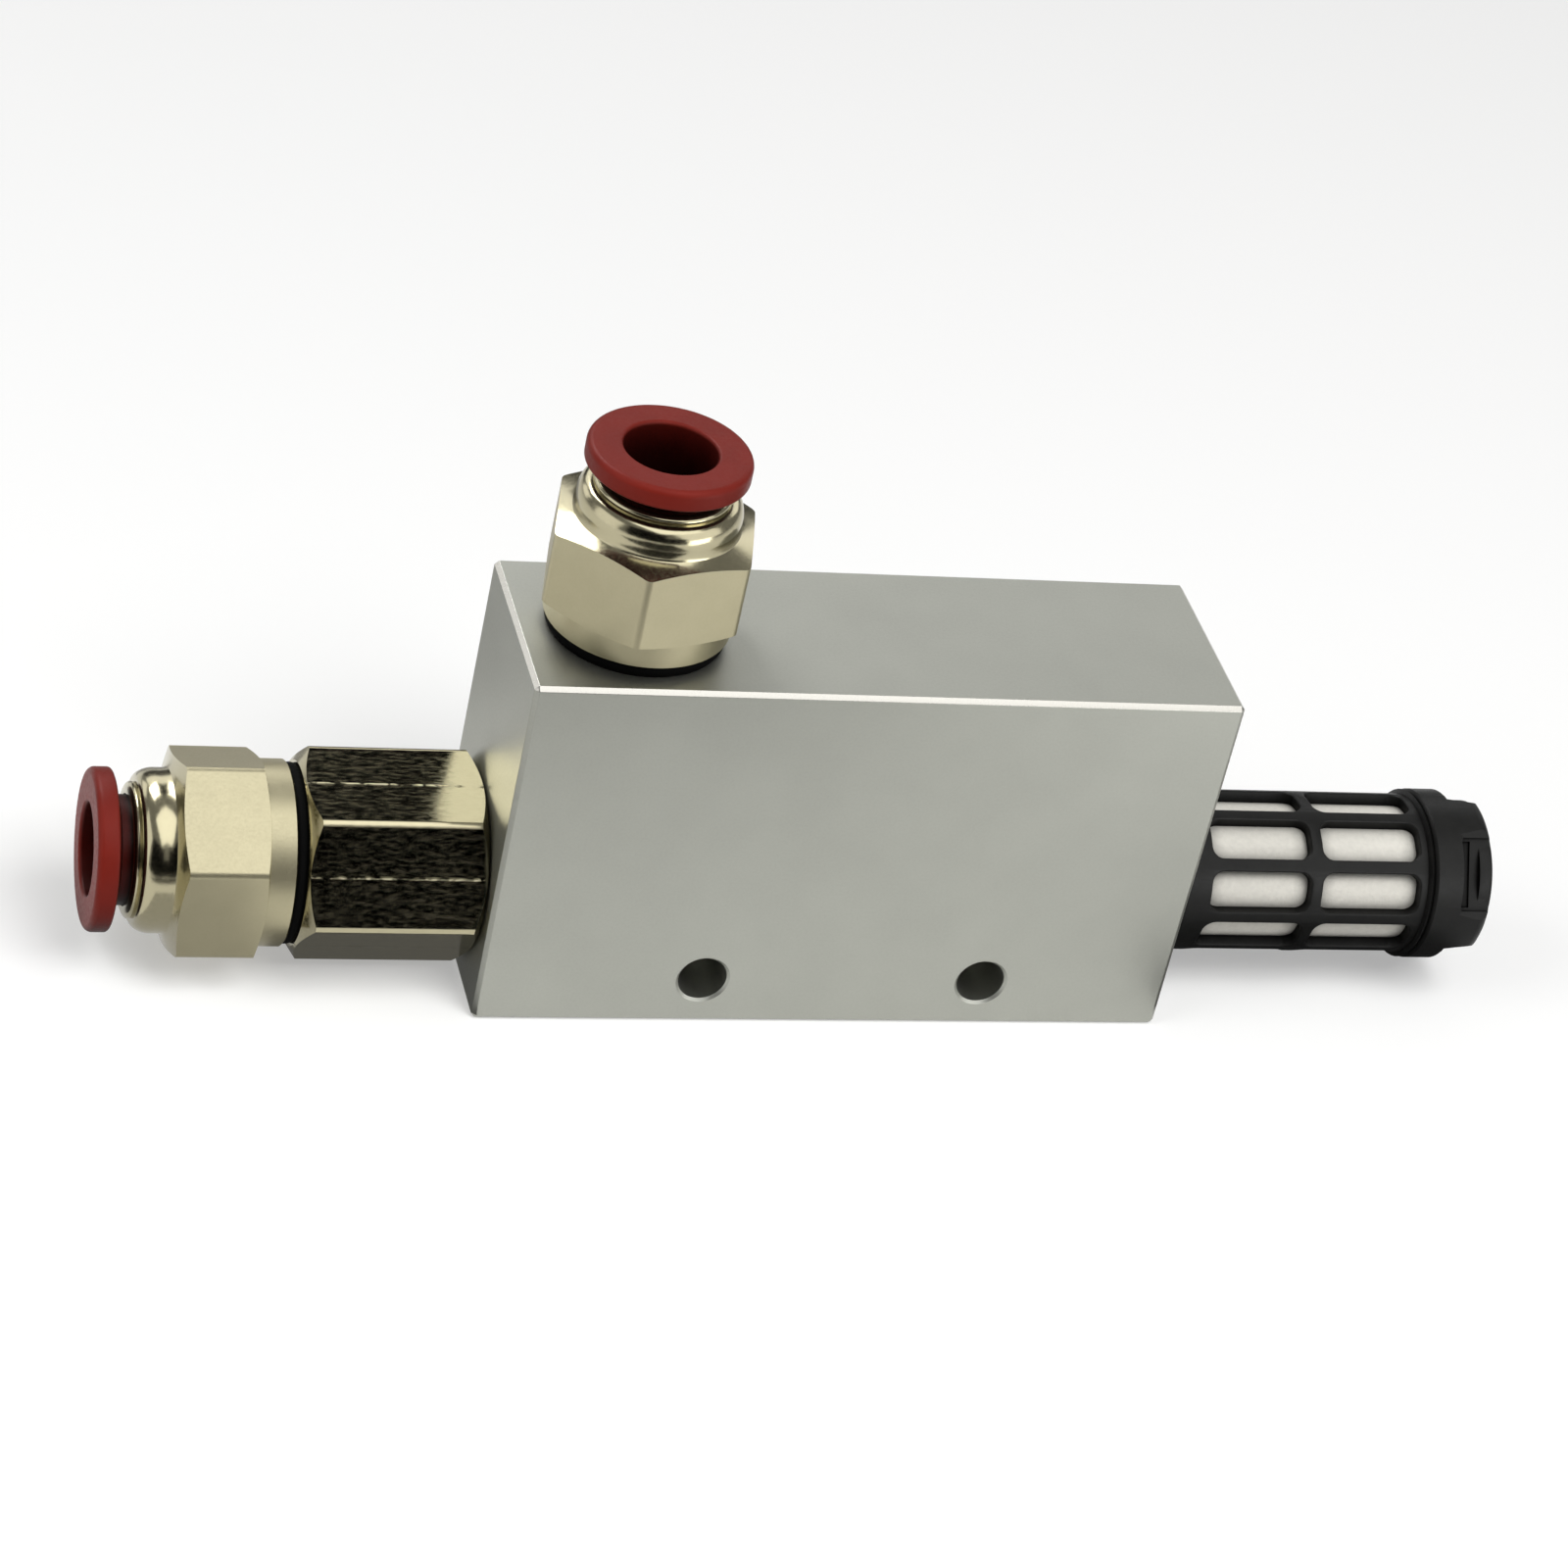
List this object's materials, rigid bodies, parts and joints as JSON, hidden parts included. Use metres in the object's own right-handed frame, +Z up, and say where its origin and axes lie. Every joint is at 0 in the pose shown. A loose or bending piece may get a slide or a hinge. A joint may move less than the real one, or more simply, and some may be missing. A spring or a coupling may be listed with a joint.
{
  "type": "vacuum ejector",
  "caption": "Inline vacuum ejector: aluminium block with a hex nozzle holder, push-in tube fittings for supply and vacuum, and a caged exhaust silencer.",
  "frame": {"origin": "centre of the block's base face", "axes": "+X along the air path from supply to exhaust, +Z up towards the vacuum port, +Y towards the back"},
  "size_m": [0.1312, 0.02, 0.0543],
  "materials": {
    "anodised_aluminium": "satin silver anodised",
    "polished_nickel": "bright nickel plate on turned brass hexagon bar",
    "satin_nickel": "pale nickel plate on turned brass",
    "turned_brass": "plain turned brass",
    "nitrile_rubber": "smooth black nitrile",
    "spring_steel": "stamped stainless spring steel",
    "red_acetal": "satin moulded acetal, dark red",
    "black_nylon": "satin moulded nylon, black",
    "porous_polyethylene": "sintered white polyethylene"
  },
  "bodies": {
    "ejector": {"ejector_block": "anodised_aluminium", "nozzle_holder": "polished_nickel", "holder_seal": "nitrile_rubber", "nozzle": "turned_brass", "nozzle_seal": "nitrile_rubber", "diffuser": "turned_brass", "diffuser_seal": "nitrile_rubber", "supply_fitting_body": "satin_nickel", "supply_port_seal": "nitrile_rubber", "supply_tube_seal": "nitrile_rubber", "supply_lock_claws": "spring_steel", "supply_guide_ring": "satin_nickel", "vacuum_fitting_body": "satin_nickel", "vacuum_port_seal": "nitrile_rubber", "vacuum_tube_seal": "nitrile_rubber", "vacuum_lock_claws": "spring_steel", "vacuum_guide_ring": "satin_nickel", "silencer_cage": "black_nylon", "silencer_element": "porous_polyethylene", "silencer_cap": "black_nylon"},
    "supply_release": {"supply_release_ring": "red_acetal"},
    "vacuum_release": {"vacuum_release_ring": "red_acetal"}
  },
  "joints": [
    {"name": "supply_release_slide", "type": "slide", "parent": "ejector", "child": "supply_release", "axis": [1, 0, 0], "range_m": [0, 0.0008], "stiffness_N_per_m": 300, "springref_m": -0.0004},
    {"name": "vacuum_release_slide", "type": "slide", "parent": "ejector", "child": "vacuum_release", "axis": [0, 0, -1], "range_m": [0, 0.0008], "stiffness_N_per_m": 300, "springref_m": -0.0004}
  ]
}
